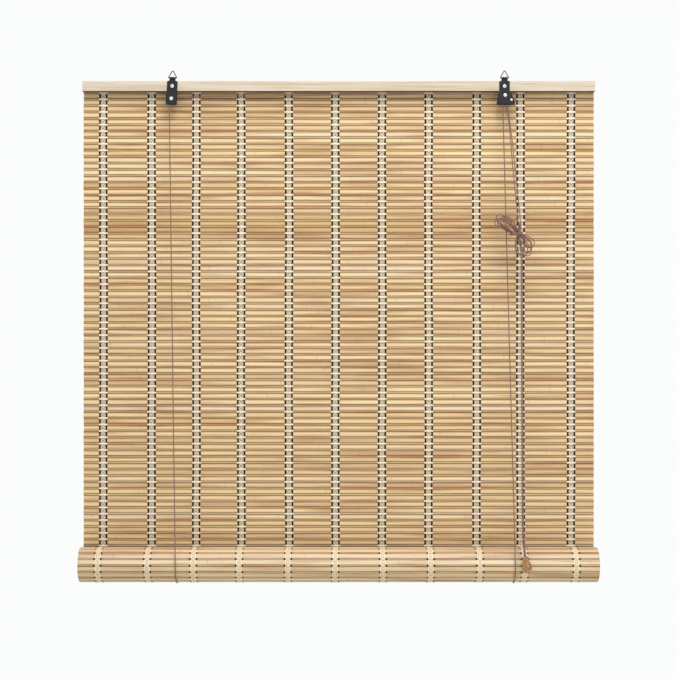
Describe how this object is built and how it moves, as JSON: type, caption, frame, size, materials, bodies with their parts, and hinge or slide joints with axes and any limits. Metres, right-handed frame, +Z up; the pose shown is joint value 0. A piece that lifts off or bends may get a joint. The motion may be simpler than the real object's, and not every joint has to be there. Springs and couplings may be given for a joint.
{
  "type": "roll up blind",
  "caption": "Bamboo roll up window blind, partly rolled, with a wooden head batten, metal pulley brackets, hanging rings, a pull cord hank and a wooden knob.",
  "frame": {"origin": "midway between the two hanging rings' bearing points", "axes": "+X along the batten to the pull cord side, +Y towards the window, +Z up"},
  "size_m": [0.9, 0.0831, 0.8967],
  "materials": {
    "batten_wood": "planed pale softwood, clear sealed",
    "bamboo": "split bamboo, satin",
    "rod_wood": "round bamboo rod",
    "black_thread": "black cotton thread",
    "cream_thread": "cream cotton thread",
    "cord": "braided polyester cord",
    "black_steel": "black lacquered sheet steel",
    "black_wire": "black lacquered steel wire",
    "bright_steel": "bright zinc plated",
    "zinc_wire": "galvanised wire",
    "black_plastic": "moulded nylon",
    "acorn_wood": "varnished turned wood"
  },
  "bodies": {
    "frame": {"head_batten": "batten_wood", "mat_slats": "bamboo", "mat_sticks": "bamboo", "black_threads": "black_thread", "cream_threads": "cream_thread", "mat_staples": "zinc_wire", "left_plate": "black_steel", "left_cover": "black_steel", "left_screw": "bright_steel", "left_axle": "bright_steel", "right_plate": "black_steel", "right_cover": "black_steel", "right_screw": "bright_steel", "right_axle": "bright_steel", "cam_pin": "black_steel", "cross_cord": "cord", "over_cord": "cord", "left_front_cord": "cord", "right_front_cord": "cord", "left_back_cord": "cord", "right_back_cord": "cord", "left_cord_anchor": "cord", "right_cord_anchor": "cord", "cord_staples": "zinc_wire"},
    "cord_cradle": {"left_loop": "cord", "right_loop": "cord"},
    "roll": {"roll": "bamboo", "bottom_rod": "rod_wood"},
    "left_pulley": {"left_pulley": "black_plastic"},
    "right_pulley": {"right_pulley": "black_plastic"},
    "lock_cam": {"lock_cam": "black_plastic"},
    "left_ring": {"left_ring": "black_wire"},
    "right_ring": {"right_ring": "black_wire"},
    "pull_cords": {"rear_pull_strand": "cord", "front_pull_strand": "cord"},
    "pull_tail": {"hank": "cord", "rear_lower_strand": "cord", "front_lower_strand": "cord", "knob": "acorn_wood", "knob_knot": "cord"}
  },
  "joints": [
    {"name": "roll_lift", "type": "slide", "parent": "frame", "child": "cord_cradle", "axis": [0, 0, 1], "range_m": [0, 0.64], "deforming": ["mat_slats", "mat_sticks", "black_threads", "cream_threads", "left_front_cord", "right_front_cord", "left_back_cord", "right_back_cord"]},
    {"name": "roll_spin", "type": "hinge", "parent": "cord_cradle", "child": "roll", "pos_m": [0, -0.0155, -0.862], "axis": [1, 0, 0], "range_deg": [-1080.5, 0.5]},
    {"name": "left_pulley_spin", "type": "hinge", "parent": "frame", "child": "left_pulley", "pos_m": [-0.29313, -0.0029, -0.0487], "axis": [0, 1, 0], "continuous": true},
    {"name": "right_pulley_spin", "type": "hinge", "parent": "frame", "child": "right_pulley", "pos_m": [0.291, -0.0044, -0.0433], "axis": [0, 1, 0], "continuous": true},
    {"name": "lock_cam_tilt", "type": "hinge", "parent": "frame", "child": "lock_cam", "pos_m": [0.3022, -0.0044, -0.0513], "axis": [0, 1, 0], "range_deg": [0, 40]},
    {"name": "left_ring_swing", "type": "hinge", "parent": "frame", "child": "left_ring", "pos_m": [-0.29152, 0, -0.01179], "axis": [0.999, 0, -0.0436], "range_deg": [-85, 85]},
    {"name": "right_ring_swing", "type": "hinge", "parent": "frame", "child": "right_ring", "pos_m": [0.291, 0, -0.0118], "axis": [1, 0, 0], "range_deg": [-85, 85]},
    {"name": "pull_cord_lean", "type": "hinge", "parent": "frame", "child": "pull_cords", "pos_m": [0.29485, -0.0044, -0.0584], "axis": [1, 0, 0], "range_deg": [-12, 0.5]},
    {"name": "pull_tail_hang", "type": "hinge", "parent": "pull_cords", "child": "pull_tail", "pos_m": [0.31515, -0.0228, -0.277], "axis": [1, 0, 0], "range_deg": [-0.5, 12]}
  ],
  "couplings": [
    {"joint": "roll_spin", "follows": "roll_lift", "rad_per_m": -29.452},
    {"joint": "left_pulley_spin", "follows": "roll_lift", "rad_per_m": 519.48},
    {"joint": "right_pulley_spin", "follows": "roll_lift", "rad_per_m": 519.48},
    {"joint": "pull_cord_lean", "follows": "roll_lift", "rad_per_m": -0.32},
    {"joint": "pull_tail_hang", "follows": "roll_lift", "rad_per_m": 0.32}
  ]
}
